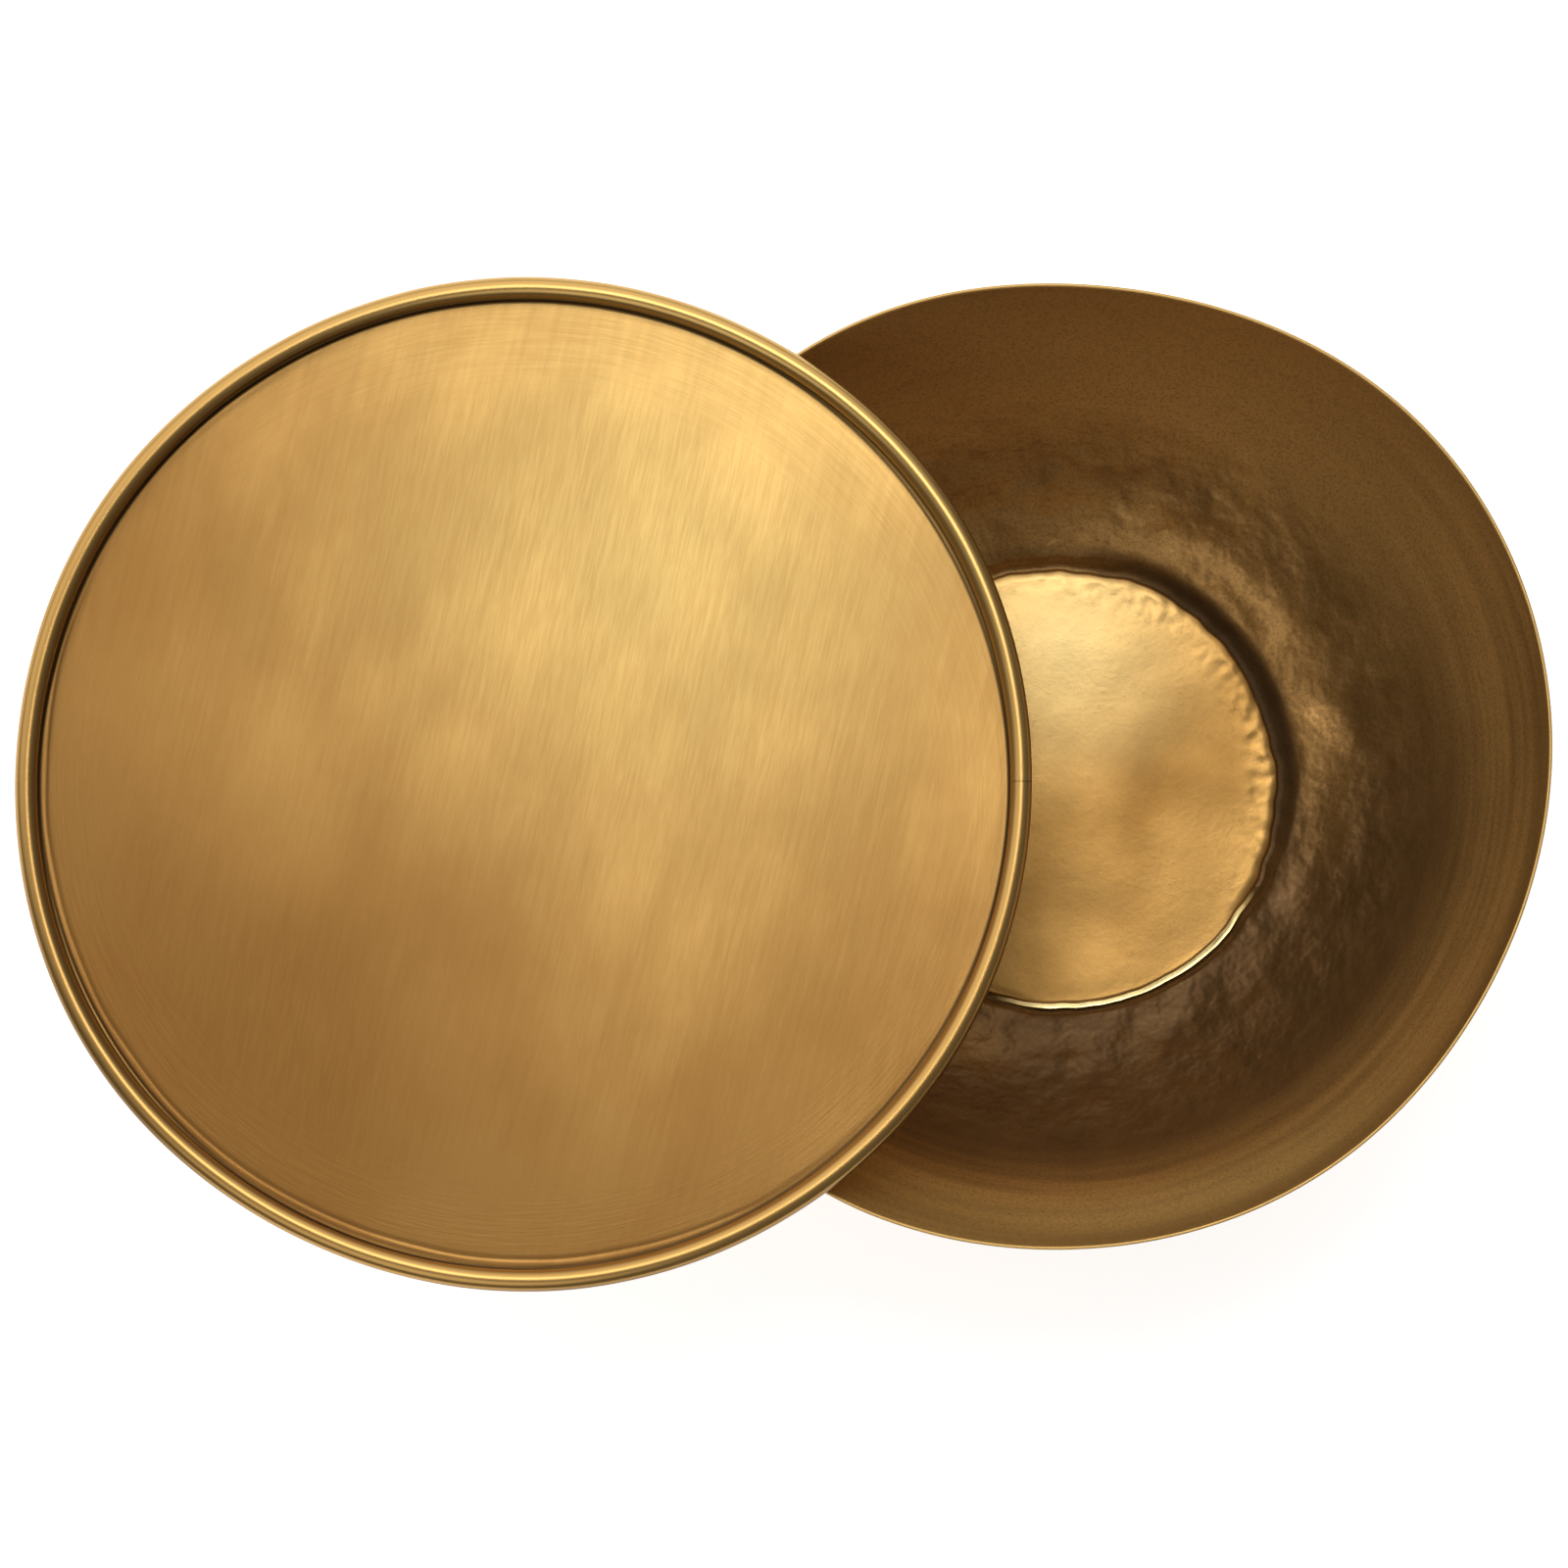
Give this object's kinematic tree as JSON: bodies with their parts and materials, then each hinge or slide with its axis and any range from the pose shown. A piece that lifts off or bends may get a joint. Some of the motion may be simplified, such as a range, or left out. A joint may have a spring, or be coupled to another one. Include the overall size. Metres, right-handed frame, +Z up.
{
  "type": "lidded bowl with swivelling tray lid",
  "caption": "Round hand-raised brass bowl on a flared foot, with a wired-edge flat tray for a lid that swings aside on an upright pin inside the wall.",
  "frame": {"origin": "centre of the foot's flat underside, which the object stands on", "axes": "+Z up along the bowl's axis; at rest the tray is swung open towards -X; +X and +Y are level"},
  "size_m": [0.6915, 0.457, 0.1925],
  "materials": {
    "tray_brass": "antiqued, brushed",
    "bowl_brass": "antiqued, hammered near the floor, brushed round near the rim",
    "floor_brass": "antiqued, polished by hand",
    "foot_brass": "antiqued, brushed",
    "braze": "bright hand-dressed braze",
    "fitting_brass": "turned, dull",
    "bush_bronze": "plain bearing bronze, oiled",
    "bright_steel": "bright turned steel",
    "wire_steel": "drawn steel wire, hidden in the bead",
    "plate_steel": "blackened mild steel",
    "pad_rubber": "matt black sheet rubber"
  },
  "bodies": {
    "bowl": {"bowl_shell": "bowl_brass", "bowl_floor": "floor_brass", "floor_seam": "braze", "foot_ring": "foot_brass", "foot_seam": "braze", "base_plate": "plate_steel", "base_pad": "pad_rubber", "pivot_tube": "fitting_brass", "pivot_gusset": "fitting_brass", "stop_collar": "fitting_brass", "stop_peg": "bright_steel", "upper_bush": "bush_bronze", "lower_bush": "bush_bronze", "thrust_washer": "bush_bronze"},
    "tray": {"tray_panel": "tray_brass", "rim_wire": "wire_steel", "pivot_flange": "fitting_brass", "pivot_pin": "bright_steel", "retaining_washer": "bright_steel", "retaining_screw": "bright_steel"}
  },
  "joints": [
    {"name": "tray_swing", "type": "hinge", "parent": "bowl", "child": "tray", "pos_m": [-0.12657, 0.12657, 0.1784], "axis": [0, 0, 1], "range_deg": [0, 86]}
  ]
}
